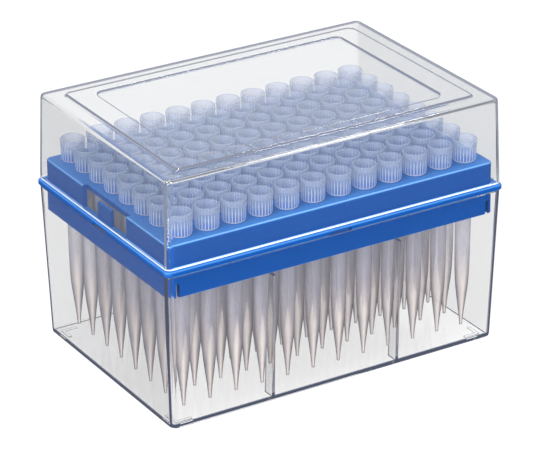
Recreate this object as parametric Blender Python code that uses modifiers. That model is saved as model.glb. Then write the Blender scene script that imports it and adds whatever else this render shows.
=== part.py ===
"""Boxed rack of ninety-six pipette tips.

A clear base box carries a perforated tray on its rim, the tray carries the tips by their ribbed collars,
and a clear lid covers them. Units are metres, +Z is up, X is the long side, -Y is the front.
"""
import math

import bmesh
import bpy

MM = 0.001
GAP = 0.3 * MM                       # clearance between pieces that rest on each other

# grid of tips, the common laboratory plate pitch
PITCH = 9.0 * MM
COLUMNS = 12
ROWS = 8
ROW_LETTERS = "hgfedcba"             # front row first

# heights
FLOOR_LOW = 0.8 * MM                 # underside of the base floor, above the foot rim
FLOOR_TOP = 2.3 * MM
SKIRT_Z = 42.2 * MM                  # lower edge of the tray skirt
FLANGE_LOW = 50.1 * MM
FLANGE_TOP = 51.75 * MM
DECK_LOW = 57.5 * MM
DECK_TOP = 59.0 * MM
BASE_RIM = FLANGE_LOW - GAP
LID_RIM = FLANGE_TOP + GAP
LID_TOP = 79.8 * MM
PLATFORM_RISE = 0.6 * MM             # raised middle of the lid top
PANEL_SINK = 0.4 * MM                # shallow panel inside that platform

# plan half sizes (x, y)
WALL = 1.5 * MM
SPLIT_HALF = (58.3 * MM, 39.65 * MM)  # both shells where they meet the flange
FOOT_HALF = (56.9 * MM, 38.2 * MM)   # base at its foot
CROWN_HALF = (57.3 * MM, 39.0 * MM)  # lid at its top
FLANGE_HALF = (58.75 * MM, 40.1 * MM)
DECK_HALF = (56.2 * MM, 37.5 * MM)
PLATFORM_HALF = (51.5 * MM, 34.0 * MM)
PANEL_HALF = (43.5 * MM, 29.0 * MM)
CORNER = 2.0 * MM

# tray details
WINDOW_HALF = 13.3 * MM
TONGUE_HALF = 4.0 * MM
TONGUE_TOP = 57.2 * MM
SLOT_X = 54.3 * MM                   # narrow slots near the ends of the skirt
SLOT_WIDTH = 1.2 * MM
SLOT_HEIGHT = 4.4 * MM
NOTCH_HALF = 3.9 * MM                # notches under the flange, one per side
NOTCH_HEIGHT = 1.0 * MM
HOLE_R = 2.9 * MM

# base details
FIN_X = 22.0 * MM
FIN_THICK = 1.0 * MM
RIDGE_OUT = (54.0 * MM, 35.2 * MM)   # outer corner of each L-shaped ridge under the floor
RIDGE_ARM = 5.2 * MM
RIDGE_WIDTH = 1.0 * MM

# pipette tip
TIP_END = 3.5 * MM
TIP_TOP = 66.2 * MM
SEAT = DECK_TOP + GAP
TIP_SIDES = 8
TIP_OUTER = [(3.85, TIP_TOP / MM), (3.7, SEAT / MM), (2.5, SEAT / MM), (2.15, 19.0), (0.5, TIP_END / MM)]
TIP_BORE = [(0.22, TIP_END / MM), (1.6, 19.0), (1.9, 59.6), (3.0, 60.2), (3.15, TIP_TOP / MM)]
CUP = [(0.0, 60.3), (3.0, 60.3), (3.15, TIP_TOP / MM)]
BAR_HALF = 0.8 * MM
BAR_TOP = 60.0 * MM


def clear_scene():
    for obj in list(bpy.data.objects):
        bpy.data.objects.remove(obj, do_unlink=True)


def collection(name):
    col = bpy.data.collections.new(name)
    bpy.context.scene.collection.children.link(col)
    return col


def material(name, rgb, roughness, transmission=0.0, alpha=1.0):
    mat = bpy.data.materials.new(name)
    mat.use_nodes = True
    shader = mat.node_tree.nodes["Principled BSDF"]
    shader.inputs["Base Color"].default_value = (*rgb, 1.0)
    shader.inputs["Roughness"].default_value = roughness
    shader.inputs["Transmission Weight"].default_value = transmission
    shader.inputs["Alpha"].default_value = alpha
    mat.diffuse_color = (*rgb, alpha)
    return mat


def link(name, mesh, col, mat=None, smooth=False):
    obj = bpy.data.objects.new(name, mesh)
    col.objects.link(obj)
    if mat is not None:
        mesh.materials.append(mat)
    if smooth:
        mesh.polygons.foreach_set("use_smooth", [True] * len(mesh.polygons))
    return obj


def block_mesh(name, low_half, high_half, z0, z1):
    """Rectangular block whose plan half sizes change from z0 to z1, upright edges marked for rounding."""
    bm = bmesh.new()
    bmesh.ops.create_cube(bm, size=2.0)
    for v in bm.verts:
        half = high_half if v.co.z > 0 else low_half
        v.co = (v.co.x * half[0], v.co.y * half[1], z1 if v.co.z > 0 else z0)
    weight = bm.edges.layers.float.new("bevel_weight_edge")
    for e in bm.edges:
        if abs(e.verts[0].co.z - e.verts[1].co.z) > 0.5 * (z1 - z0):
            e[weight] = 1.0
    mesh = bpy.data.meshes.new(name)
    bm.to_mesh(mesh)
    bm.free()
    return mesh


def bevel(obj, width, segments=3):
    """Round the upright edges, which carry the bevel weight."""
    mod = obj.modifiers.new("rounded", "BEVEL")
    mod.width = width
    mod.segments = segments
    mod.limit_method = "WEIGHT"


def bevel_top(obj, width, segments=2):
    """Round the edges of the top face only."""
    top = max(v.co.z for v in obj.data.vertices)
    group = obj.vertex_groups.new(name="top_edge")
    group.add([v.index for v in obj.data.vertices if v.co.z > top - 0.01 * MM], 1.0, "REPLACE")
    mod = obj.modifiers.new("top_edge", "BEVEL")
    mod.width = width
    mod.segments = segments
    mod.limit_method = "VGROUP"
    mod.vertex_group = "top_edge"


def boolean(obj, other, operation):
    mod = obj.modifiers.new(other.name, "BOOLEAN")
    mod.operation = operation
    mod.solver = "EXACT"
    mod.object = other


def cutter_block(cutters, name, lo, hi):
    """Plain box between two corners, given as (x, y, z)."""
    bm = bmesh.new()
    bmesh.ops.create_cube(bm, size=1.0)
    for v in bm.verts:
        v.co = [lo[k] + (hi[k] - lo[k]) * (v.co[k] + 0.5) for k in range(3)]
    mesh = bpy.data.meshes.new(name)
    bm.to_mesh(mesh)
    bm.free()
    return link(name, mesh, cutters)


def cutter_group(cutters, name, boxes):
    """Several separate boxes in one cutter, each a pair of corners."""
    bm = bmesh.new()
    for lo, hi in boxes:
        made = bmesh.ops.create_cube(bm, size=1.0)["verts"]
        for v in made:
            v.co = [lo[k] + (hi[k] - lo[k]) * (v.co[k] + 0.5) for k in range(3)]
    mesh = bpy.data.meshes.new(name)
    bm.to_mesh(mesh)
    bm.free()
    return link(name, mesh, cutters)


def rounded_cutter(cutters, name, half, z0, z1, radius, segments=3):
    obj = link(name, block_mesh(name, half, half, z0, z1), cutters)
    bevel(obj, radius, segments)
    return obj


def tip_centre(column, row):
    """Column 0 is at -X, row 0 is the front row."""
    return ((column - (COLUMNS - 1) / 2) * PITCH, (row - (ROWS - 1) / 2) * PITCH)


def base_half(z):
    """Outer plan half sizes of the base at a height."""
    t = z / (50.0 * MM)
    return tuple(FOOT_HALF[k] + (SPLIT_HALF[k] - FOOT_HALF[k]) * t for k in range(2))


def lid_half(z):
    """Outer plan half sizes of the lid at a height."""
    t = (z - LID_RIM) / (LID_TOP - LID_RIM)
    return tuple(SPLIT_HALF[k] + (CROWN_HALF[k] - SPLIT_HALF[k]) * t for k in range(2))


def fin_mesh(x, side):
    """Upright fin on the inside of a long wall, deeper towards the floor."""
    def wall_y(z):
        return base_half(z)[1] - 0.5 * WALL
    z_low, z_high = FLOOR_TOP - 0.5 * MM, SKIRT_Z - 0.7 * MM
    outline = [(wall_y(z_low), z_low), (33.0 * MM, z_low), (34.9 * MM, z_high), (wall_y(z_high), z_high)]
    bm = bmesh.new()
    ends = [[bm.verts.new((x + s * FIN_THICK / 2, side * y, z)) for y, z in outline] for s in (-1, 1)]
    bm.faces.new(ends[0])
    bm.faces.new(list(reversed(ends[1])))
    for i in range(4):
        j = (i + 1) % 4
        bm.faces.new((ends[0][j], ends[0][i], ends[1][i], ends[1][j]))
    bmesh.ops.recalc_face_normals(bm, faces=bm.faces)
    mesh = bpy.data.meshes.new("fin")
    bm.to_mesh(mesh)
    bm.free()
    return mesh


def lug_boxes():
    """Short lugs that stand up from the base rim into the notches of the flange."""
    half = base_half(BASE_RIM)
    lift = BASE_RIM + NOTCH_HEIGHT - GAP / 2
    w, inset = NOTCH_HALF - GAP, 0.25 * MM
    boxes = []
    for s in (-1, 1):
        y = sorted((s * (half[1] - inset), s * (half[1] - WALL + inset)))
        x = sorted((s * (half[0] - inset), s * (half[0] - WALL + inset)))
        boxes.append(((-w, y[0], BASE_RIM - 1 * MM), (w, y[1], lift)))
        boxes.append(((x[0], -w, BASE_RIM - 1 * MM), (x[1], w, lift)))
    return boxes


def ridge_boxes():
    """Two boxes per corner, overlapping, for the L-shaped ridges under the floor."""
    boxes = []
    for sx in (-1, 1):
        for sy in (-1, 1):
            x0, y0 = sx * RIDGE_OUT[0], sy * RIDGE_OUT[1]
            x1, y1 = x0 - sx * RIDGE_ARM, y0 - sy * RIDGE_ARM
            xw, yw = x0 - sx * RIDGE_WIDTH, y0 - sy * RIDGE_WIDTH
            top = FLOOR_LOW + 0.5 * MM
            boxes.append(((min(x0, x1), min(y0, yw), 0.0), (max(x0, x1), max(y0, yw), top)))
            boxes.append(((min(x0, xw), min(y0, y1), 0.0), (max(x0, xw), max(y0, y1), top)))
    return boxes


def make_base(col, cutters, mat):
    rim_half = base_half(BASE_RIM)
    obj = link("base_box", block_mesh("base_box", FOOT_HALF, rim_half, 0.0, BASE_RIM), col, mat)
    bevel(obj, CORNER)
    low, high = base_half(FLOOR_TOP), base_half(BASE_RIM + MM)
    inner = block_mesh("base_inside", [a - WALL for a in low], [a - WALL for a in high],
                       FLOOR_TOP, BASE_RIM + MM)
    inside = link("base_inside", inner, cutters)
    bevel(inside, CORNER - 0.8 * MM, 2)
    boolean(obj, inside, "DIFFERENCE")
    under = rounded_cutter(cutters, "base_under", [a - WALL for a in FOOT_HALF], -MM, FLOOR_LOW, CORNER - 0.8 * MM, 2)
    boolean(obj, under, "DIFFERENCE")
    for n, (x, side) in enumerate([(a * FIN_X, b) for a in (-1, 1) for b in (-1, 1)]):
        boolean(obj, link("base_fin_%d" % n, fin_mesh(x, side), cutters), "UNION")
    for n, (lo, hi) in enumerate(ridge_boxes()):
        boolean(obj, cutter_block(cutters, "base_ridge_%d" % n, lo, hi), "UNION")
    boolean(obj, cutter_group(cutters, "base_lugs", lug_boxes()), "UNION")
    return obj


def hole_mesh():
    """All deck holes as one set of prisms, with the same number of sides as the tips."""
    bm = bmesh.new()
    for c in range(COLUMNS):
        for r in range(ROWS):
            made = bmesh.ops.create_cone(bm, cap_ends=True, segments=TIP_SIDES, radius1=HOLE_R,
                                         radius2=HOLE_R, depth=6 * MM)["verts"]
            x, y = tip_centre(c, r)
            bmesh.ops.translate(bm, verts=made, vec=(x, y, DECK_TOP - MM))
    mesh = bpy.data.meshes.new("deck_holes")
    bm.to_mesh(mesh)
    bm.free()
    return mesh


def tray_side_cuts():
    """Notches under the flange and slots at the ends of the skirt."""
    fx, fy = FLANGE_HALF
    top = FLANGE_LOW + NOTCH_HEIGHT
    notches, slots = [], []
    for s in (-1, 1):
        y = sorted((s * (fy + MM), s * (DECK_HALF[1] + 0.2 * MM)))
        x = sorted((s * (fx + MM), s * (DECK_HALF[0] + 0.2 * MM)))
        notches.append(((-NOTCH_HALF, y[0], FLANGE_LOW - MM), (NOTCH_HALF, y[1], top)))
        notches.append(((x[0], -NOTCH_HALF, FLANGE_LOW - MM), (x[1], NOTCH_HALF, top)))
        for t in (-1, 1):
            ys = sorted((s * (DECK_HALF[1] - 2.5 * MM), s * (DECK_HALF[1] + MM)))
            slots.append(((t * SLOT_X - SLOT_WIDTH / 2, ys[0], SKIRT_Z - MM),
                          (t * SLOT_X + SLOT_WIDTH / 2, ys[1], SKIRT_Z + SLOT_HEIGHT)))
    return notches, slots


def make_tray(col, cutters, mat):
    skirt_half = [a + 0.1 * MM for a in DECK_HALF]
    obj = link("tip_tray", block_mesh("tip_tray", skirt_half, DECK_HALF, SKIRT_Z, DECK_TOP), col, mat)
    bevel(obj, CORNER)
    bevel_top(obj, 1.2 * MM)
    flange = rounded_cutter(cutters, "tray_flange", FLANGE_HALF, FLANGE_LOW, FLANGE_TOP, CORNER)
    boolean(obj, flange, "UNION")
    cavity = rounded_cutter(cutters, "tray_cavity", [a - WALL for a in DECK_HALF], SKIRT_Z - 2 * MM, DECK_LOW,
                            CORNER - 0.8 * MM, 2)
    boolean(obj, cavity, "DIFFERENCE")
    notches, slots = tray_side_cuts()
    boolean(obj, cutter_group(cutters, "tray_notches", notches), "DIFFERENCE")
    boolean(obj, cutter_group(cutters, "tray_slots", slots), "DIFFERENCE")
    windows, tongues = [], []
    for s in (-1, 1):
        x = sorted((s * (DECK_HALF[0] - WALL - 0.05 * MM), s * (DECK_HALF[0] + 0.3 * MM)))
        windows.append(((x[0], -WINDOW_HALF, FLANGE_TOP + 0.05 * MM), (x[1], WINDOW_HALF, DECK_TOP + MM)))
        t = sorted((s * (DECK_HALF[0] - MM), s * DECK_HALF[0]))
        tongues.append(((t[0], -TONGUE_HALF, FLANGE_TOP - 0.5 * MM), (t[1], TONGUE_HALF, TONGUE_TOP)))
    boolean(obj, cutter_group(cutters, "tray_windows", windows), "DIFFERENCE")
    boolean(obj, cutter_group(cutters, "tray_tongues", tongues), "UNION")
    boolean(obj, link("deck_holes", hole_mesh(), cutters), "DIFFERENCE")
    return obj


def make_lid(col, cutters, mat):
    obj = link("lid", block_mesh("lid", SPLIT_HALF, CROWN_HALF, LID_RIM, LID_TOP), col, mat)
    bevel(obj, CORNER)
    bevel_top(obj, 1.0 * MM)
    low, high = lid_half(LID_RIM - MM), lid_half(LID_TOP - WALL)
    inner = block_mesh("lid_inside", [a - WALL for a in low], [a - WALL for a in high], LID_RIM - MM,
                       LID_TOP - WALL)
    inside = link("lid_inside", inner, cutters)
    bevel(inside, CORNER - 0.8 * MM, 2)
    rise = LID_TOP + PLATFORM_RISE
    boolean(obj, rounded_cutter(cutters, "lid_platform", PLATFORM_HALF, LID_TOP - 0.5 * MM, rise, 2.5 * MM),
            "UNION")
    boolean(obj, rounded_cutter(cutters, "lid_panel", PANEL_HALF, rise - PANEL_SINK, rise + MM, 2.5 * MM),
            "DIFFERENCE")
    boolean(obj, inside, "DIFFERENCE")
    return obj


def profile_mesh(name, points, closed):
    """Half section in the XZ plane, radii and heights in millimetres."""
    bm = bmesh.new()
    verts = [bm.verts.new((r * MM, 0.0, z * MM)) for r, z in points]
    for a, b in zip(verts, verts[1:]):
        bm.edges.new((a, b))
    if closed:
        bm.edges.new((verts[-1], verts[0]))
    mesh = bpy.data.meshes.new(name)
    bm.to_mesh(mesh)
    bm.free()
    return mesh


def turn(obj):
    mod = obj.modifiers.new("turned", "SCREW")
    mod.angle = math.tau
    mod.steps = TIP_SIDES
    mod.render_steps = TIP_SIDES
    mod.screw_offset = 0.0
    mod.axis = "Z"
    mod.use_merge_vertices = True
    mod.merge_threshold = 0.00005
    mod.use_smooth_shade = True
    mod.use_normal_calculate = False


def make_single_tip(col, mat, name, column, row):
    obj = link(name, profile_mesh(name, TIP_OUTER + TIP_BORE, True), col, mat)
    turn(obj)
    x, y = tip_centre(column, row)
    obj.location = (x, y, 0.0)
    return obj


def make_tip_column(col, cutters, mat, name, column):
    """Seven tips behind the front row, joined by one bar between their collars."""
    count = ROWS - 1
    points = CUP + TIP_OUTER + [(0.0, TIP_END / MM)]
    obj = link(name, profile_mesh(name, points, False), col, mat)
    turn(obj)
    repeat = obj.modifiers.new("repeat", "ARRAY")
    repeat.count = count
    repeat.use_relative_offset = False
    repeat.use_constant_offset = True
    repeat.constant_offset_displace = (0.0, PITCH, 0.0)
    x, y = tip_centre(column, 1)
    bar = cutter_block(cutters, name + "_bar", (x - BAR_HALF, y, SEAT + 0.1 * MM),
                       (x + BAR_HALF, y + (count - 1) * PITCH, BAR_TOP))
    boolean(obj, bar, "UNION")
    obj.location = (x, y, 0.0)
    return obj


def make_tips(col, cutters, mat):
    for c in range(COLUMNS):
        make_single_tip(col, mat, "tip_%s%02d" % (ROW_LETTERS[0], c + 1), c, 0)
    for r in range(1, ROWS):
        make_single_tip(col, mat, "tip_%s%02d" % (ROW_LETTERS[r], 1), 0, r)
    for c in range(1, COLUMNS):
        make_tip_column(col, cutters, mat, "tips_col%02d" % (c + 1), c)


def main():
    clear_scene()
    col = collection("pipette_tip_box")
    cutters = collection("cutters")
    clear = material("clear_polystyrene", (0.86, 0.87, 0.9), 0.08, 0.9, 0.35)
    lid_clear = material("clear_lid", (0.86, 0.87, 0.9), 0.08, 0.9, 0.35)
    blue = material("blue_tray", (0.03, 0.14, 0.5), 0.35)
    tips = material("translucent_tip", (0.78, 0.8, 0.86), 0.3, 0.5, 0.7)
    make_base(col, cutters, clear)
    make_tray(col, cutters, blue)
    make_lid(col, cutters, lid_clear)
    make_tips(col, cutters, tips)
    for obj in cutters.objects:
        obj.display_type = "WIRE"
        obj.hide_render = True
    cutters.hide_render = True


main()
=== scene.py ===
"""Looks for the boxed rack of pipette tips: clear base and lid, blue tray, ninety-six ribbed tips."""
import math

import bmesh
import bpy
from mathutils import Matrix, Vector


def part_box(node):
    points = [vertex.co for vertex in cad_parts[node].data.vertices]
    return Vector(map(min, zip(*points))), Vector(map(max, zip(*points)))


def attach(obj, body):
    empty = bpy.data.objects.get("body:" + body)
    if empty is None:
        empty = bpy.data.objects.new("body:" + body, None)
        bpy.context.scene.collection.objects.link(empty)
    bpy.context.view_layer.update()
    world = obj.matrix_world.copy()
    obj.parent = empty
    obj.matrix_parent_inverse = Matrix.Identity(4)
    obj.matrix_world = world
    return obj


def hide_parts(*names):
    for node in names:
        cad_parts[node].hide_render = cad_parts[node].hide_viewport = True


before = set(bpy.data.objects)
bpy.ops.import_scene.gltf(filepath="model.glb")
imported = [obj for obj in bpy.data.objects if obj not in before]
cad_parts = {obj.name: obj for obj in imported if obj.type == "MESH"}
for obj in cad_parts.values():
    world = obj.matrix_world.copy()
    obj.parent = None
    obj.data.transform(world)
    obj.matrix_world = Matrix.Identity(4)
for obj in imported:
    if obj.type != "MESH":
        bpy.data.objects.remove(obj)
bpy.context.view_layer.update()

MM = 0.001
PITCH = 9.0
COLUMNS, ROWS = 12, 8
ROW_LETTERS = "hgfedcba"
CORNER_STEPS, ROUND_STEPS, RISE_STEPS = 10, 5, 6
LEVEL_NORMAL = 0.9995       # a face whose normal rises more than this counts as level
BROAD_AREA = 30.0           # and one over this many square millimetres as broad


# ---------------------------------------------------------------- driving sizes, in millimetres
def high_corner(node_name):
    return [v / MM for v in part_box(node_name)[1]]


def lowest(node_name):
    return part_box(node_name)[0][2] / MM


LID_WALL, BASE_WALL, TRAY_WALL = 1.0, 1.1, 1.5
CORNER = 2.0                        # outer rounding of the upright edges
INNER_CORNER = CORNER - 1.2         # and the rounding inside the walls
SPLIT = tuple(high_corner("lid")[:2])       # half length and half width where lid and base meet
FOOT = (56.9, 38.2)                 # the same at the floor
CROWN = (57.3, 39.0)                # and under the lid's top
SPLIT_HEIGHT = 50.0                 # where the base's outer face reaches SPLIT
PLATFORM, PANEL = (51.5, 34.0), (43.5, 29.0)
PLATFORM_RISE, PANEL_SINK = 0.6, 0.4
PLATFORM_SLOPE, PANEL_SLOPE, PANEL_CORNER = 0.9, 0.35, 2.5
LID_RIM, LID_TOP = lowest("lid"), high_corner("lid")[2] - PLATFORM_RISE
LUG_RISE = 0.85
BASE_RIM = high_corner("base_box")[2] - LUG_RISE


# ---------------------------------------------------------------- mesh helpers
def link_object(name, data):
    obj = bpy.data.objects.new(name, data)
    bpy.context.scene.collection.objects.link(obj)
    return obj


def mesh_in_metres(name, bm):
    """Mesh data from a bmesh in millimetres, which is used up."""
    for v in bm.verts:
        v.co *= MM
    mesh = bpy.data.meshes.new(name)
    bm.to_mesh(mesh)
    bm.free()
    return mesh


def mark_sharp_edges(bm, angle):
    limit = math.radians(angle)
    for e in bm.edges:
        if len(e.link_faces) == 2:
            e.smooth = e.calc_face_angle(0.0) < limit


def finish_mesh(name, bm, mat, smooth_angle=35.0):
    """Mesh object from a bmesh in millimetres, smooth except across sharp edges."""
    bmesh.ops.remove_doubles(bm, verts=bm.verts, dist=1e-4)
    bmesh.ops.recalc_face_normals(bm, faces=bm.faces)
    for f in bm.faces:
        f.smooth = True
    mark_sharp_edges(bm, smooth_angle)
    mesh = mesh_in_metres(name, bm)
    mesh.materials.append(mat)
    return link_object(name, mesh)


def keep_flat(mesh, angle):
    """Smooth shading on roundings only; level faces and broad ones stay flat."""
    bm = bmesh.new()
    bm.from_mesh(mesh)
    for f in bm.faces:
        level = abs(f.normal.z) > LEVEL_NORMAL
        f.smooth = not (level or f.calc_area() > BROAD_AREA * MM * MM)
    mark_sharp_edges(bm, angle)
    bm.to_mesh(mesh)
    bm.free()


def rounded_ring(hx, hy, r, z):
    """Points of a rounded rectangle, counter-clockwise, always the same count."""
    r = max(min(r, hx, hy), 1e-3)
    pts = []
    for k, (sx, sy) in enumerate([(1, 1), (-1, 1), (-1, -1), (1, -1)]):
        for i in range(CORNER_STEPS + 1):
            a = math.pi / 2 * (k + i / CORNER_STEPS)
            pts.append((sx * (hx - r) + r * math.cos(a), sy * (hy - r) + r * math.sin(a), z))
    return pts


def loft(bm, rings):
    """Closed skin through rings that all have the same number of points."""
    rows = [[bm.verts.new(p) for p in ring] for ring in rings]
    n = len(rows[0])
    for a, b in zip(rows, rows[1:]):
        for i in range(n):
            j = (i + 1) % n
            bm.faces.new((a[i], a[j], b[j], b[i]))
    bm.faces.new(list(reversed(rows[0])))
    bm.faces.new(rows[-1])


def box_into(bm, lo, hi):
    """Box between two opposite corners."""
    verts = bmesh.ops.create_cube(bm, size=1.0)["verts"]
    for v in verts:
        v.co = Vector([lo[k] + (hi[k] - lo[k]) * (v.co[k] + 0.5) for k in range(3)])


def prism_into(bm, ends):
    """Closed solid between two outlines with the same number of points, wound the same way."""
    low = [bm.verts.new(p) for p in ends[0]]
    high = [bm.verts.new(p) for p in ends[1]]
    bm.faces.new(low)
    bm.faces.new(list(reversed(high)))
    for i in range(len(low)):
        j = (i + 1) % len(low)
        bm.faces.new((low[j], low[i], high[i], high[j]))


def both_ways(a, b, side):
    """Two distances from the middle, as lowest and highest coordinate on the given side of it."""
    return sorted((side * a, side * b))


def lerp2(a, b, t):
    """Pair part of the way from a to b; t past 0 or 1 runs on beyond them."""
    return (a[0] + (b[0] - a[0]) * t, a[1] + (b[1] - a[1]) * t)


def cut(obj, other, operation):
    """Union with, or difference from, a helper object."""
    mod = obj.modifiers.new("cut", "BOOLEAN")
    mod.operation = operation
    mod.solver = "EXACT"
    mod.object = other


def bake_modifiers(obj):
    """Replace the mesh by its evaluated result and remove the helper objects."""
    helpers = [m.object for m in obj.modifiers if m.type == "BOOLEAN"]
    dg = bpy.context.evaluated_depsgraph_get()
    done = bpy.data.meshes.new_from_object(obj.evaluated_get(dg))
    obj.modifiers.clear()
    obj.data = done
    for h in helpers:
        bpy.data.objects.remove(h)


def helper(name, bm):
    """Object for a boolean, from a bmesh in millimetres."""
    bmesh.ops.recalc_face_normals(bm, faces=bm.faces)
    obj = link_object(name, mesh_in_metres(name, bm))
    obj.hide_render = True
    return obj


# ---------------------------------------------------------------- materials
TRAPPED_AFTER = 2.5         # reflections inside a wall, after which its fixed glow takes over
RIM_BAND = 0.5              # height of the lid rim's painted highlight band, in millimetres
COLOUR_SPAN = 70.0          # height that the tips' colours are spread over, in millimetres
RIGHTWARD = (0.854, -0.52, 0.0)     # level direction to the right, for a viewer at the front left


def new_material(name):
    """A material with its node tree, its main shader and its output."""
    mat = bpy.data.materials.new(name)
    mat.use_nodes = True
    nt = mat.node_tree
    return mat, nt, nt.nodes["Principled BSDF"], nt.nodes["Material Output"]


def node(nt, kind, **values):
    """New node; in_Name sets an input socket, any other keyword a property."""
    n = nt.nodes.new(kind)
    for key, value in values.items():
        if key.startswith("in_"):
            n.inputs[key[3:].replace("_", " ")].default_value = value
        else:
            setattr(n, key, value)
    return n


def grey(value):
    return (value, value, value)


def ramp(nt, source, stops):
    """Colour along 0 to 1; each stop is a place with a colour, or with one grey level."""
    n = nt.nodes.new("ShaderNodeValToRGB")
    nt.links.new(source, n.inputs[0])
    cr = n.color_ramp
    while len(cr.elements) < len(stops):
        cr.elements.new(0.5)
    for el, (pos, col) in zip(cr.elements, stops):
        el.position = pos
        el.color = (*(grey(col) if isinstance(col, float) else col), 1.0)
    return n.outputs[0]


def surface_noise(nt, scale, detail, stretch=(1, 1, 1)):
    """Noise fixed to the piece, with about scale blotches to the metre."""
    coord = nt.nodes.new("ShaderNodeTexCoord")
    mapping = node(nt, "ShaderNodeMapping")
    mapping.inputs["Scale"].default_value = stretch
    nt.links.new(coord.outputs["Object"], mapping.inputs[0])
    noise = node(nt, "ShaderNodeTexNoise", in_Scale=scale, in_Detail=detail)
    nt.links.new(mapping.outputs[0], noise.inputs["Vector"])
    return noise.outputs["Fac"]


def bump(nt, shader, height, strength, distance):
    b = node(nt, "ShaderNodeBump", in_Strength=strength, in_Distance=distance)
    nt.links.new(height, b.inputs["Height"])
    nt.links.new(b.outputs[0], shader.inputs["Normal"])


def normal_parts(nt):
    """Sizes of the three parts of the surface normal."""
    geo = nt.nodes.new("ShaderNodeNewGeometry")
    size = node(nt, "ShaderNodeVectorMath", operation="ABSOLUTE")
    split = nt.nodes.new("ShaderNodeSeparateXYZ")
    nt.links.new(geo.outputs["Normal"], size.inputs[0])
    nt.links.new(size.outputs[0], split.inputs[0])
    return split.outputs


def larger(nt, a, b):
    most = node(nt, "ShaderNodeMath", operation="MAXIMUM")
    nt.links.new(a, most.inputs[0])
    nt.links.new(b, most.inputs[1])
    return most.outputs[0]


def multiply(nt, a, b):
    mix = node(nt, "ShaderNodeMix", data_type="RGBA", blend_type="MULTIPLY")
    mix.inputs[0].default_value = 1.0
    nt.links.new(a, mix.inputs[6])
    nt.links.new(b, mix.inputs[7])
    return mix.outputs[2]


def towards(nt, amount, start, colour):
    """A fixed colour that gives way to a varying one."""
    mix = node(nt, "ShaderNodeMix", data_type="RGBA")
    nt.links.new(amount, mix.inputs[0])
    mix.inputs[6].default_value = (*start, 1.0)
    nt.links.new(colour, mix.inputs[7])
    return mix.outputs[2]


def mix_shaders(nt, amount, first, second):
    """First shader where amount is 0, second where it is 1; amount is a number or a socket."""
    mix = nt.nodes.new("ShaderNodeMixShader")
    if isinstance(amount, float):
        mix.inputs[0].default_value = amount
    else:
        nt.links.new(amount, mix.inputs[0])
    nt.links.new(first, mix.inputs[1])
    nt.links.new(second, mix.inputs[2])
    return mix.outputs[0]


def scaled_height(nt, low, high):
    """0 to 1 between two heights in millimetres."""
    coord = nt.nodes.new("ShaderNodeTexCoord")
    split = nt.nodes.new("ShaderNodeSeparateXYZ")
    nt.links.new(coord.outputs["Object"], split.inputs[0])
    span = node(nt, "ShaderNodeMapRange")
    span.inputs["From Min"].default_value = low * MM
    span.inputs["From Max"].default_value = high * MM
    nt.links.new(split.outputs["Z"], span.inputs["Value"])
    return span.outputs[0]


def across(nt):
    """0 to 1 across an upright round piece, along RIGHTWARD."""
    geo = nt.nodes.new("ShaderNodeNewGeometry")
    dot = node(nt, "ShaderNodeVectorMath", operation="DOT_PRODUCT")
    nt.links.new(geo.outputs["Normal"], dot.inputs[0])
    dot.inputs[1].default_value = RIGHTWARD
    span = node(nt, "ShaderNodeMapRange")
    span.inputs["From Min"].default_value = -1.0
    nt.links.new(dot.outputs["Value"], span.inputs["Value"])
    return span.outputs[0]


def clear_plastic(name, tint, end_tint, depth_glow, haze, rim_height):
    """Clear polystyrene: sharp refraction, faint flow waviness, and end walls tinted a little darker. It has
    a weak painted glow of its own (haze) and a painted highlight: a white band over RIM_BAND from rim_height
    up, where the rim's edge catches light. A fixed glow (depth_glow) stands in for the light lost after many
    reflections in a wall. Lamps shine through it."""
    mat, nt, shader, out = new_material(name)
    shader.inputs["IOR"].default_value = 1.5
    shader.inputs["Transmission Weight"].default_value = 1.0
    # Painted glow: a weak light of its own, of strength haze, standing in for haze in the plastic.
    shader.inputs["Emission Color"].default_value = (0.80, 0.95, 1.0, 1.0)
    shader.inputs["Emission Strength"].default_value = haze
    wave = surface_noise(nt, 28.0, 2.0)
    fine = surface_noise(nt, 260.0, 3.0)
    flow = ramp(nt, wave, [(0.3, 0.985), (0.7, 1.0)])
    nx, ny, nz = normal_parts(nt)
    # End walls, facing along the length, get the darker end_tint.
    walls = ramp(nt, nx, [(0.75, tint), (0.97, end_tint)])
    flat = larger(nt, nx, larger(nt, ny, nz))
    gloss = ramp(nt, flat, [(0.97, 1.0), (0.995, 0.15)])
    nt.links.new(gloss, shader.inputs["Specular Tint"])
    nt.links.new(multiply(nt, flow, walls), shader.inputs["Base Color"])
    rough = ramp(nt, fine, [(0.35, 0.0), (0.8, 0.02)])
    nt.links.new(rough, shader.inputs["Roughness"])
    bump(nt, shader, wave, 0.01, 0.0003)
    # Painted highlight: a white diffuse band on the lid's rim, where its edge catches light.
    rim_highlight = nt.nodes.new("ShaderNodeBsdfDiffuse")
    rim_highlight.inputs[0].default_value = (0.92, 0.94, 0.97, 1.0)
    near_rim = ramp(nt, scaled_height(nt, rim_height, rim_height + RIM_BAND), [(0.0, 0.8), (1.0, 0.0)])
    edged = mix_shaders(nt, near_rim, shader.outputs[0], rim_highlight.outputs[0])
    path = nt.nodes.new("ShaderNodeLightPath")
    trapped = node(nt, "ShaderNodeMath", operation="GREATER_THAN")
    nt.links.new(path.outputs["Glossy Depth"], trapped.inputs[0])
    trapped.inputs[1].default_value = TRAPPED_AFTER
    glow = nt.nodes.new("ShaderNodeEmission")
    glow.inputs[0].default_value = (*depth_glow, 1.0)
    body = mix_shaders(nt, trapped.outputs[0], edged, glow.outputs[0])
    lit_through = larger(nt, path.outputs["Is Shadow Ray"], path.outputs["Is Diffuse Ray"])
    clear = nt.nodes.new("ShaderNodeBsdfTransparent")
    clear.inputs[0].default_value = (0.94, 0.94, 0.945, 1.0)
    nt.links.new(mix_shaders(nt, lit_through, body, clear.outputs[0]), out.inputs["Surface"])
    return mat
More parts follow.
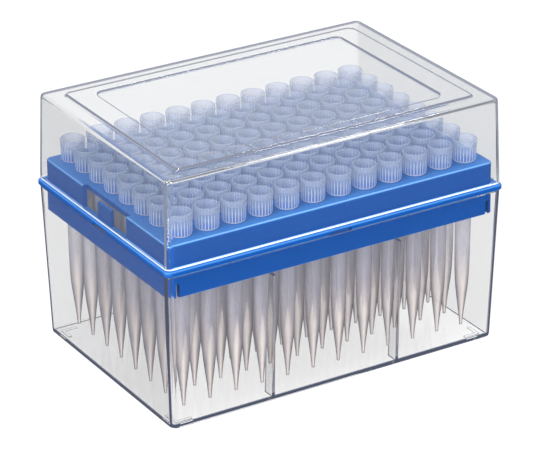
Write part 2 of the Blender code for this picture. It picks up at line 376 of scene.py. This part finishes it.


# The tray's blue on upright faces, with painted light towards level ones: a lighter painted highlight on
# rounded edges, and level faces painted lighter as if lit from above.
TRAY_BLUE_AND_PAINTED_LIGHT = [(0.05, (0.001, 0.043, 0.195)), (0.45, (0.02, 0.09, 0.27)), (0.64, (0.12, 0.27, 0.52)),
              (0.78, (0.12, 0.27, 0.52)), (0.97, (0.03, 0.14, 0.40))]


def tray_plastic():
    """Blue polypropylene, satin, with faint moulding mottling, and painted light: lighter edges and tops."""
    mat, nt, shader, _ = new_material("tray_blue")
    blotch = surface_noise(nt, 90.0, 5.0)
    mottle = ramp(nt, blotch, [(0.3, (0.93, 0.93, 0.94)), (0.7, 1.0)])
    upward = normal_parts(nt)["Z"]
    # Painted light by slope: lighter painted highlight on rounded edges, lighter level faces.
    blue_and_painted_light = ramp(nt, upward, TRAY_BLUE_AND_PAINTED_LIGHT)
    nt.links.new(multiply(nt, mottle, blue_and_painted_light), shader.inputs["Base Color"])
    grain = surface_noise(nt, 1400.0, 3.0)
    rough = ramp(nt, grain, [(0.3, 0.22), (0.7, 0.28)])
    nt.links.new(rough, shader.inputs["Roughness"])
    shader.inputs["Specular IOR Level"].default_value = 0.2
    bump(nt, shader, grain, 0.02, 0.00005)
    return mat


def tip_plastic(name, hue_by_height, tint_by_angle, painted_light_across, density, streak_depth, fill):
    """Natural polypropylene: a milky body mixed with see-through. A wall seen edge-on lets less light
    through. Its colours by height and across carry painted light and shade. density is how milky it is, by
    height and by angle. fill is a painted glow that stands in for the light scattered inside it."""
    mat, nt, shader, out = new_material(name)
    height = scaled_height(nt, 0.0, COLOUR_SPAN)
    facing = node(nt, "ShaderNodeLayerWeight", in_Blend=0.5).outputs["Facing"]
    contrast = ramp(nt, height, [(0.22, 1.0), (0.45, 0.15), (0.84, 0.15), (0.85, 1.0)])
    streak = surface_noise(nt, 420.0, 3.0, (1, 1, 0.03))
    mottle = ramp(nt, streak, [(0.35, 1.0 - streak_depth), (0.65, 1.0)])
    # Own colour by height, with its painted light and shade, and random streaks.
    body = multiply(nt, ramp(nt, height, hue_by_height), mottle)
    # Painted highlight and shade across the tip, as strong as contrast says.
    hue = multiply(nt, body, towards(nt, contrast, grey(1.0), ramp(nt, across(nt), painted_light_across)))
    nt.links.new(hue, shader.inputs["Base Color"])
    shader.inputs["Roughness"].default_value = 0.30
    # Painted glow, fill, standing in for light scattered inside the plastic.
    shader.inputs["Emission Color"].default_value = (*fill, 1.0)
    shader.inputs["Emission Strength"].default_value = 1.0
    grain = surface_noise(nt, 2600.0, 2.0)
    bump(nt, shader, grain, 0.03, 0.00004)
    through = nt.nodes.new("ShaderNodeBsdfTranslucent")
    nt.links.new(hue, through.inputs["Color"])
    milky = mix_shaders(nt, 0.45, shader.outputs[0], through.outputs[0])
    clear = nt.nodes.new("ShaderNodeBsdfTransparent")
    tint = towards(nt, contrast, tint_by_angle[0][1], ramp(nt, facing, tint_by_angle))
    nt.links.new(tint, clear.inputs[0])
    by_height, by_angle = density
    milkiness = multiply(nt, ramp(nt, height, by_height), ramp(nt, facing, by_angle))
    nt.links.new(mix_shaders(nt, milkiness, clear.outputs[0], milky), out.inputs["Surface"])
    return mat


# ---------------------------------------------------------------- the tips' colours
# Of the ribs, the furrows between them, and the shaft, by height: the tips' own milky colour with painted
# light. The blue near the tray is the tray's colour painted in, the shaft's lower part is painted warm
# light and its upper part painted shade, and the collars are darker towards the top.
RIB = [(0.855, (0.90, 0.95, 1.0)), (0.90, (0.86, 0.92, 1.0)), (0.92, (0.48, 0.57, 0.75)),
       (0.95, (0.46, 0.54, 0.70))]
FURROW = [(0.868, (0.14, 0.32, 0.82)), (0.885, (0.38, 0.51, 0.80)), (0.92, (0.44, 0.54, 0.73)),
          (0.95, (0.42, 0.51, 0.69))]
WARM = [(0.05, (0.90, 0.82, 0.74)), (0.26, (0.84, 0.77, 0.72)), (0.42, (0.42, 0.42, 0.48)),
        (0.825, (0.39, 0.42, 0.52)), (0.845, (0.28, 0.44, 0.88))]
# Of the light that comes through a wall, from face-on to edge-on.
SOFT_RIM = [(0.0, (0.88, 0.87, 0.865)), (0.6, (0.83, 0.82, 0.82)), (1.0, (0.60, 0.60, 0.62))]
DARK_RIM = [(0.0, (0.90, 0.88, 0.865)), (0.15, (0.86, 0.84, 0.83)), (0.36, (0.46, 0.46, 0.50)),
            (0.65, (0.24, 0.25, 0.29)), (1.0, (0.14, 0.15, 0.18))]
# Painted light across a tip, from left to right: on the shaft a painted highlight band right of the
# middle between painted shade, on the collar a faint lighter stretch.
EVEN = [(0.0, (0.92, 0.93, 0.95)), (0.5, (0.96, 0.97, 0.98)), (0.8, 1.0), (1.0, (0.9, 0.9, 0.92))]
BAND = [(0.0, (0.40, 0.41, 0.45)), (0.34, (0.48, 0.49, 0.53)), (0.45, (0.72, 0.71, 0.73)),
        (0.53, (1.0, 0.98, 0.95)), (0.66, (1.0, 0.98, 0.96)), (0.76, (0.62, 0.62, 0.65)),
        (1.0, (0.38, 0.39, 0.43))]
# Milkiness by height, then from face-on to edge-on.
RIB_DENSITY = ([(0.86, 0.66), (0.90, 0.66), (0.925, 0.48), (0.9437, 0.40), (0.945, 0.54)],
               [(0.0, 0.5), (0.6, 0.65), (1.0, 1.0)])
FURROW_DENSITY = ([(0.865, 0.6), (0.885, 0.45), (0.93, 0.45)],
                  [(0.0, 0.45), (0.6, 0.6), (1.0, 1.0)])
SHAFT_DENSITY = ([(0.0, 0.9), (1.0, 1.0)],
                 [(0.0, 0.42), (0.3, 0.50), (0.7, 0.45)])
# Painted glow of the collars and of the shafts.
COLLAR_FILL, SHAFT_FILL = (0.134, 0.168, 0.24), (0.17, 0.17, 0.195)


# ---------------------------------------------------------------- clear lid
def lid_half(z):
    """Half length and half width of the lid's outer face at a height."""
    return lerp2(SPLIT, CROWN, (z - LID_RIM) / (LID_TOP - LID_RIM))


def wall_rings(half_at, heights, inset, radius):
    """Rings of a tapering wall."""
    return [rounded_ring(half_at(z)[0] - inset, half_at(z)[1] - inset, radius, z) for z in heights]


def edge_round(half, level, radius, corner, direction=1):
    """Rings that roll a wall over into a level face; direction is 1 for a top and -1 for a floor."""
    rings = []
    for i in range(ROUND_STEPS + 1):
        a = math.pi / 2 * i / ROUND_STEPS
        inset = radius * (1 - math.cos(a))
        z = level - direction * radius * (1 - math.sin(a))
        rings.append(rounded_ring(half[0] - inset, half[1] - inset, max(corner - inset, 0.3), z))
    return rings


def riser(half, z0, z1, corner, slope):
    """Eased ramp between two levels; slope is its width, outline measured at its middle."""
    rings = []
    for i in range(RISE_STEPS + 1):
        t = i / RISE_STEPS
        ease = 0.5 - 0.5 * math.cos(math.pi * t)
        shift = slope * (0.5 - t)
        rings.append(rounded_ring(half[0] + shift, half[1] + shift, corner + shift, z0 + (z1 - z0) * ease))
    return rings


def top_steps(level):
    """Rings up onto the platform and down into the panel, from a level face."""
    high, low = level + PLATFORM_RISE, level + PLATFORM_RISE - PANEL_SINK
    return (riser(PLATFORM, level, high, PANEL_CORNER, PLATFORM_SLOPE)
            + riser(PANEL, high, low, PANEL_CORNER, PANEL_SLOPE))


def make_lid(mat):
    """Lid: one closed skin, from the middle of its ceiling out and down, round the rim, up outside and in."""
    bm = bmesh.new()
    under_top = LID_TOP - LID_WALL
    under = lid_half(under_top)
    inner = edge_round((under[0] - LID_WALL, under[1] - LID_WALL), under_top, 0.7, INNER_CORNER)
    rim = [rounded_ring(SPLIT[0] - LID_WALL, SPLIT[1] - LID_WALL, INNER_CORNER, LID_RIM + 0.25),
           rounded_ring(SPLIT[0] - LID_WALL + 0.25, SPLIT[1] - LID_WALL + 0.25, CORNER - 1.0, LID_RIM),
           rounded_ring(SPLIT[0] - 0.45, SPLIT[1] - 0.45, CORNER - 0.4, LID_RIM),
           rounded_ring(SPLIT[0] - 0.13, SPLIT[1] - 0.13, CORNER - 0.1, LID_RIM + 0.13)]
    outer = wall_rings(lid_half, [LID_RIM + 0.45, LID_TOP - 1.0], 0.0, CORNER)
    crown = edge_round(CROWN, LID_TOP, 0.8, CORNER)
    path = list(reversed(inner + top_steps(under_top))) + rim + outer + crown + top_steps(LID_TOP)
    loft(bm, path)
    obj = finish_mesh("lid_shell", bm, mat)
    keep_flat(obj.data, 50)
    return obj


# ---------------------------------------------------------------- clear base
FLOOR_LOW, FLOOR_TOP = 0.3, 1.0
FIN_PLACES, FIN_TOP, FIN_HALF = (-22.0, 22.0), 41.5, 0.5
FIN_EDGE_LOW, FIN_EDGE_HIGH = 33.0, 34.9    # the fin's free edge, from the middle of the box
LUG_HALF, LUG_INSET = 3.6, 0.25
RIDGE_X, RIDGE_Y, RIDGE_ARM, RIDGE_WIDTH = 54.0, 35.2, 5.2, 1.0


def base_half(z):
    """Half length and half width of the base's outer face at a height."""
    return lerp2(FOOT, SPLIT, z / SPLIT_HEIGHT)


def make_base(mat):
    """Base: a closed skin from under the floor, round the foot, up outside and down inside, with its
    fins, lugs and ridges joined on."""
    bm = bmesh.new()
    under = (FOOT[0] - BASE_WALL, FOOT[1] - BASE_WALL)
    at_floor = base_half(FLOOR_TOP)
    inside = (at_floor[0] - BASE_WALL, at_floor[1] - BASE_WALL)
    path = [rounded_ring(under[0], under[1], INNER_CORNER, FLOOR_LOW),
            rounded_ring(under[0] + 0.2, under[1] + 0.2, CORNER - 0.9, 0.0),
            rounded_ring(FOOT[0] - 0.5, FOOT[1] - 0.5, CORNER, 0.0),
            rounded_ring(FOOT[0] - 0.1, FOOT[1] - 0.1, CORNER, 0.35)]
    path += wall_rings(base_half, [1.0, 20.0, BASE_RIM - 0.2], 0.0, CORNER)
    rim = base_half(BASE_RIM)
    path += [rounded_ring(rim[0] - 0.2, rim[1] - 0.2, CORNER, BASE_RIM),
             rounded_ring(rim[0] - BASE_WALL + 0.2, rim[1] - BASE_WALL + 0.2, INNER_CORNER, BASE_RIM)]
    path += wall_rings(base_half, [BASE_RIM - 0.2, 20.0], BASE_WALL, INNER_CORNER)
    path += edge_round(inside, FLOOR_TOP, 0.7, INNER_CORNER, direction=-1)
    loft(bm, path)
    obj = finish_mesh("base_shell", bm, mat)
    fins = bmesh.new()
    for x in FIN_PLACES:
        for side in (-1, 1):
            fin_into(fins, x, side)
    cut(obj, helper("fins", fins), "UNION")
    small = bmesh.new()
    for side in (-1, 1):
        lugs_into(small, side)
    ridges_into(small)
    cut(obj, helper("lugs_and_ridges", small), "UNION")
    bake_modifiers(obj)
    keep_flat(obj.data, 50)
    return obj


def fin_into(bm, x, side):
    """Upright fin that grows out of a long wall."""
    def in_wall(z):
        return base_half(z)[1] - 0.5 * BASE_WALL
    foot = FLOOR_TOP - 0.5
    line = [(in_wall(foot), foot), (FIN_EDGE_LOW, foot),
            (FIN_EDGE_HIGH, FIN_TOP), (in_wall(FIN_TOP), FIN_TOP)]
    prism_into(bm, [[(x + end * FIN_HALF, side * y, z) for y, z in line] for end in (-1, 1)])


def lugs_into(bm, side):
    """One lug on the rim of a long wall and one on a short wall."""
    half = base_half(BASE_RIM)
    low, top = BASE_RIM - 1.0, BASE_RIM + LUG_RISE
    x = both_ways(half[0] - LUG_INSET, half[0] - BASE_WALL + LUG_INSET, side)
    y = both_ways(half[1] - LUG_INSET, half[1] - BASE_WALL + LUG_INSET, side)
    box_into(bm, (-LUG_HALF, y[0], low), (LUG_HALF, y[1], top))
    box_into(bm, (x[0], -LUG_HALF, low), (x[1], LUG_HALF, top))


def ridges_into(bm):
    """L-shaped ridges at the four corners under the floor."""
    x, y, arm, width = RIDGE_X, RIDGE_Y, RIDGE_ARM, RIDGE_WIDTH
    line = [(x, y), (x - arm, y), (x - arm, y - width),
            (x - width, y - width), (x - width, y - arm), (x, y - arm)]
    for sx in (-1, 1):
        for sy in (-1, 1):
            prism_into(bm, [[(sx * px, sy * py, z) for px, py in line] for z in (0.0, FLOOR_LOW + 0.2)])


# ---------------------------------------------------------------- blue tray
DECK = (56.2, 37.5)
FLANGE = tuple(high_corner("tip_tray")[:2])
FLANGE_LOW, FLANGE_TOP = 50.1, 51.75
SKIRT_LOW, DECK_TOP = lowest("tip_tray"), high_corner("tip_tray")[2]
DECK_LOW = DECK_TOP - TRAY_WALL
SKIRT_CORNER = CORNER - 0.8         # rounding inside the skirt
HOLE_RADIUS, HOLE_CUT = 2.9, 6.0
WINDOW_HALF = 13.3
TONGUE_HALF, TONGUE_THICK, TONGUE_TOP = 4.0, 1.0, 57.2
NOTCH_HALF = 3.9
SLOT_PLACE, SLOT_HALF, SLOT_RISE = 54.0, 0.6, 4.4


def make_tray(mat):
    """Tray: a closed skin from under the deck, down inside the skirt, up outside and over the deck, with
    its openings cut and its tongues joined on."""
    def ring(half, grow, corner, z):
        return rounded_ring(half[0] + grow, half[1] + grow, corner, z)
    inner = -TRAY_WALL
    path = [ring(DECK, inner, SKIRT_CORNER, DECK_LOW), ring(DECK, inner, SKIRT_CORNER, SKIRT_LOW + 0.2),
            ring(DECK, inner + 0.2, INNER_CORNER, SKIRT_LOW), ring(DECK, -0.1, CORNER, SKIRT_LOW),
            ring(DECK, 0.1, CORNER, SKIRT_LOW + 0.2), ring(DECK, 0.05, CORNER, FLANGE_LOW - 0.25),
            ring(DECK, 0.3, CORNER, FLANGE_LOW),
            ring(FLANGE, -0.25, CORNER, FLANGE_LOW), ring(FLANGE, 0.0, CORNER, FLANGE_LOW + 0.25),
            ring(FLANGE, 0.0, CORNER, FLANGE_TOP - 0.35), ring(FLANGE, -0.12, CORNER, FLANGE_TOP - 0.1),
            ring(FLANGE, -0.4, CORNER, FLANGE_TOP), ring(DECK, 0.25, CORNER, FLANGE_TOP),
            ring(DECK, 0.0, CORNER, FLANGE_TOP + 0.25)]
    path += edge_round(DECK, DECK_TOP, 0.7, CORNER)
    bm = bmesh.new()
    loft(bm, path)
    obj = finish_mesh("tray_body", bm, mat, 40)
    holes, gone, tongues = bmesh.new(), bmesh.new(), bmesh.new()
    for c in range(COLUMNS):
        for r in range(ROWS):
            hole_into(holes, tip_centre(c, r))
    for side in (-1, 1):
        window_into(gone, tongues, side)
        notches_into(gone, side)
        slots_into(gone, side)
    cut(obj, helper("holes", holes), "DIFFERENCE")
    cut(obj, helper("gone", gone), "DIFFERENCE")
    cut(obj, helper("tongues", tongues), "UNION")
    bake_modifiers(obj)
    keep_flat(obj.data, 40)
    return obj


def hole_into(bm, centre):
    verts = bmesh.ops.create_cone(bm, cap_ends=True, segments=32, radius1=HOLE_RADIUS, radius2=HOLE_RADIUS,
                                  depth=HOLE_CUT)["verts"]
    bmesh.ops.translate(bm, verts=verts, vec=(*centre, DECK_TOP - 1))


def window_into(gone, tongues, side):
    """Window in a short wall, open through the deck's edge, with a tongue that stands in it."""
    x = both_ways(DECK[0] - TRAY_WALL - 0.05, DECK[0] + 0.3, side)
    box_into(gone, (x[0], -WINDOW_HALF, FLANGE_TOP + 0.05), (x[1], WINDOW_HALF, DECK_TOP + 1))
    x = both_ways(DECK[0] - TONGUE_THICK, DECK[0], side)
    box_into(tongues, (x[0], -TONGUE_HALF, FLANGE_TOP - 0.5), (x[1], TONGUE_HALF, TONGUE_TOP))


def notches_into(gone, side):
    """Notches under the flange for the base's lugs, on a long side and on a short one."""
    low, top = FLANGE_LOW - 1, FLANGE_LOW + 1
    y = both_ways(FLANGE[1] + 1, DECK[1] + 0.2, side)
    box_into(gone, (-NOTCH_HALF, y[0], low), (NOTCH_HALF, y[1], top))
    x = both_ways(FLANGE[0] + 1, DECK[0] + 0.2, side)
    box_into(gone, (x[0], -NOTCH_HALF, low), (x[1], NOTCH_HALF, top))


def slots_into(gone, side):
    """Narrow slots near both ends of the skirt on a long side."""
    y = both_ways(DECK[1] - 2.5, DECK[1] + 1, side)
    for end in (-1, 1):
        low = (end * SLOT_PLACE - SLOT_HALF, y[0], SKIRT_LOW - 1)
        high = (end * SLOT_PLACE + SLOT_HALF, y[1], SKIRT_LOW + SLOT_RISE)
        box_into(gone, low, high)


# ---------------------------------------------------------------- tips
def tip_centre(column, row):
    """Place of a tip; column 0 is at the left, row 0 at the front."""
    return ((column - (COLUMNS - 1) / 2) * PITCH, (row - (ROWS - 1) / 2) * PITCH)


RIBS = 24
RIB_POINTS = 3
RIBBED_FROM = 0.3                   # rib depth from which a stretch counts as ribbed
GROOVE_PART, SHAFT_PART = 1, 2      # material places of the bore and grooves, and of the shaft
TIP_END, TIP_TOP = lowest("tip_h01"), high_corner("tip_h01")[2]
SEAT = 59.3                         # height of the collar's underside
TIP_OUTER = [                       # radius, height, rib depth, from the top down
    (3.25, TIP_TOP, 0), (3.72, TIP_TOP, 0), (3.85, 66.05, 0), (3.85, 64.7, 0), (3.75, 64.5, 0),
    (3.72, 64.45, 0.42), (3.66, 60.2, 0.42), (3.55, 59.6, 0.35), (3.35, SEAT, 0.1), (2.55, SEAT, 0),
    (2.5, 50.0, 0), (2.45, 36.0, 0), (2.38, 28.0, 0), (2.27, 23.0, 0), (2.15, 20.0, 0), (2.02, 18.0, 0),
    (1.86, 16.3, 0), (1.5, 13.2, 0), (1.1, 10.0, 0), (0.8, 7.6, 0), (0.52, 4.6, 0), (0.46, 3.6, 0),
    (0.4, TIP_END, 0)]
TIP_INNER = [                       # the same for the bore and the cup, from the bore's end up
    (0.9, 40.0, 0), (1.6, 44.0, 0), (1.9, 50.0, 0), (2.05, 57.6, 0), (2.75, 60.2, 0), (2.95, 61.5, 0),
    (3.1, 65.9, 0)]


def revolve_into(bm, profile, centre, sides):
    """Closed turned skin with ribs where the profile has a rib depth. The bore and the grooves take the
    second material and the shaft the third."""
    rows = []
    for radius, z, depth in profile:
        ring = []
        for i in range(sides):
            a = math.tau * i / sides
            r = radius - depth if i % RIB_POINTS == 0 else radius
            ring.append(bm.verts.new((centre[0] + r * math.cos(a), centre[1] + r * math.sin(a), z)))
        rows.append(ring)
    for k, (a, b) in enumerate(zip(rows, rows[1:])):
        ribbed = min(profile[k][2], profile[k + 1][2]) > RIBBED_FROM
        below_seat = max(profile[k][1], profile[k + 1][1]) <= SEAT
        in_bore = k < len(TIP_INNER)
        for i in range(sides):
            j = (i + 1) % sides
            face = bm.faces.new((a[j], a[i], b[i], b[j]))
            if below_seat:
                face.material_index = SHAFT_PART
            elif in_bore or ribbed and i % RIB_POINTS != 1:
                face.material_index = GROOVE_PART
    bm.faces.new(rows[0])
    bm.faces.new(list(reversed(rows[-1]))).material_index = SHAFT_PART


def make_tips(name, places, collar, groove, shaft):
    """One piece of all the tips at the given columns and rows."""
    bm = bmesh.new()
    for column, row in places:
        revolve_into(bm, TIP_INNER + TIP_OUTER, tip_centre(column, row), RIBS * RIB_POINTS)
    obj = finish_mesh(name, bm, collar, 40)
    obj.data.materials.append(groove)
    obj.data.materials.append(shaft)
    return obj


def tip_groups():
    """The piece name, the CAD node and the tips of each piece, as the CAD shares the tips out."""
    groups = []
    for c in range(COLUMNS):
        groups.append(("tip_fine_h%02d" % (c + 1), "tip_h%02d" % (c + 1), [(c, 0)]))
    for r in range(1, ROWS):
        groups.append(("tip_fine_%s01" % ROW_LETTERS[r], "tip_%s01" % ROW_LETTERS[r], [(0, r)]))
    for c in range(1, COLUMNS):
        places = [(c, r) for r in range(1, ROWS)]
        groups.append(("tips_fine_col%02d" % (c + 1), "tips_col%02d" % (c + 1), places))
    return groups


# ---------------------------------------------------------------- put together
clear_base = clear_plastic(
    "polystyrene_base", tint=(0.975, 0.974, 0.971), end_tint=(0.87, 0.87, 0.87),
    depth_glow=(0.08, 0.095, 0.15), haze=0.0, rim_height=-1.0)
clear_lid = clear_plastic(
    "polystyrene_lid", tint=(0.915, 0.915, 0.915), end_tint=(0.77, 0.775, 0.78),
    depth_glow=(0.27, 0.29, 0.38), haze=0.01, rim_height=LID_RIM)
blue = tray_plastic()
collar = tip_plastic("tip_collar", RIB, SOFT_RIM, EVEN, RIB_DENSITY, 0.05, COLLAR_FILL)
groove = tip_plastic("tip_groove", FURROW, SOFT_RIM, EVEN, FURROW_DENSITY, 0.05, COLLAR_FILL)
shaft = tip_plastic("tip_shaft", WARM, DARK_RIM, BAND, SHAFT_DENSITY, 0.25, SHAFT_FILL)

lid = make_lid(clear_lid)
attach(lid, "cover")
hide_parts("lid")

base = make_base(clear_base)
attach(base, "base")
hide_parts("base_box")

tray = make_tray(blue)
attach(tray, "tray")
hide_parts("tip_tray")

for piece_name, cad_node, tip_places in tip_groups():
    tips = make_tips(piece_name, tip_places, collar, groove, shaft)
    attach(tips, cad_node + "_body")
    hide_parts(cad_node)


# ---------------------------------------------------------------- floor, light, camera
def make_floor():
    """Pale floor that gives off even light, less of it after reflections, and isn't mirrored itself."""
    bm = bmesh.new()
    bmesh.ops.create_grid(bm, x_segments=1, y_segments=1, size=3.0 / MM)
    for v in bm.verts:
        v.co.z = -0.2
    mesh = mesh_in_metres("floor", bm)
    mat, nt, shader, _ = new_material("floor_white")
    shader.inputs["Base Color"].default_value = (0.10, 0.10, 0.10, 1)
    shader.inputs["Roughness"].default_value = 0.9
    path = nt.nodes.new("ShaderNodeLightPath")
    glow = ramp(nt, path.outputs["Glossy Depth"], [(0.0, (0.87, 0.87, 0.87)), (1.0, (0.16, 0.17, 0.22))])
    nt.links.new(glow, shader.inputs["Emission Color"])
    shader.inputs["Emission Strength"].default_value = 1.0
    mesh.materials.append(mat)
    floor = link_object("floor", mesh)
    floor.visible_glossy = False


AIM_HEIGHT = 0.06
COOL = (0.95, 0.97, 1.0)


def area_light(name, place, size, power, colour=(1, 1, 1), mirrored=True):
    """Lamp aimed at the box; without mirrored it isn't seen in the gloss, nor through the clear walls."""
    data = bpy.data.lights.new(name, "AREA")
    data.shape = "RECTANGLE"
    data.size, data.size_y = size
    data.energy = power
    data.color = colour
    obj = link_object(name, data)
    obj.location = place
    obj.rotation_euler = (Vector((0, 0, AIM_HEIGHT)) - Vector(place)).to_track_quat("-Z", "Y").to_euler()
    obj.visible_glossy = obj.visible_transmission = mirrored


def make_world():
    """Dim bluish surroundings."""
    world = bpy.data.worlds.new("studio")
    world.use_nodes = True
    bg = world.node_tree.nodes["Background"]
    bg.inputs[0].default_value = (0.86, 0.88, 1.0, 1)
    bg.inputs[1].default_value = 0.2
    bpy.context.scene.world = world


# Degrees: where the camera stands, seen from the aim point, and its own turns once it faces that point.
CAM_AZIMUTH, CAM_ELEVATION = -31.33, 23.855
CAM_ROLL, CAM_PITCH, CAM_YAW = 0.441, 1.03134, 0.00966
CAM_DISTANCE = 0.9059
CAM_AIM = Vector((0.0, 0.0, 0.055))
CAM_LENS, CAM_SENSOR = 199.347, 36.0


def make_camera():
    """Camera at the photograph's viewing angle."""
    a, e = math.radians(CAM_AZIMUTH), math.radians(CAM_ELEVATION)
    back = Vector((math.sin(a) * math.cos(e), -math.cos(a) * math.cos(e), math.sin(e)))
    right = Vector((0, 0, 1)).cross(back).normalized()
    rows = Matrix((right, back.cross(right), back))
    roll = Matrix.Rotation(math.radians(CAM_ROLL), 3, "Z")
    pitch = Matrix.Rotation(math.radians(CAM_PITCH), 3, "X")
    yaw = Matrix.Rotation(math.radians(CAM_YAW), 3, "Y")
    turn = roll @ pitch @ yaw
    data = bpy.data.cameras.new("camera")
    data.sensor_width = CAM_SENSOR
    data.lens = CAM_LENS
    data.clip_start, data.clip_end = 0.05, 20.0
    cam = link_object("camera", data)
    cam.matrix_world = Matrix.Translation(CAM_AIM + back * CAM_DISTANCE) @ (turn @ rows).transposed().to_4x4()
    bpy.context.scene.camera = cam


make_floor()
make_world()
area_light("overhead", (-0.35, -0.30, 1.10), (0.16, 0.16), 3.5, COOL)
area_light("edge_light", (0.52, 0.06, 0.97), (0.3, 0.14), 3, COOL)
area_light("left_soft", (-1.0, -0.3, 0.6), (0.6, 0.6), 20)
area_light("backdrop", (1.04, 1.7, 0.95), (2.2, 0.9), 4)
area_light("front_fill", (-0.45, -1.2, 0.42), (1.0, 0.6), 34, mirrored=False)
area_light("back_fill", (0.5, 1.3, 0.45), (1.0, 0.6), 16, mirrored=False)
area_light("right_fill", (1.2, -0.1, 0.5), (0.6, 0.6), 8, mirrored=False)
make_camera()
bpy.context.scene.view_settings.view_transform = "Standard"
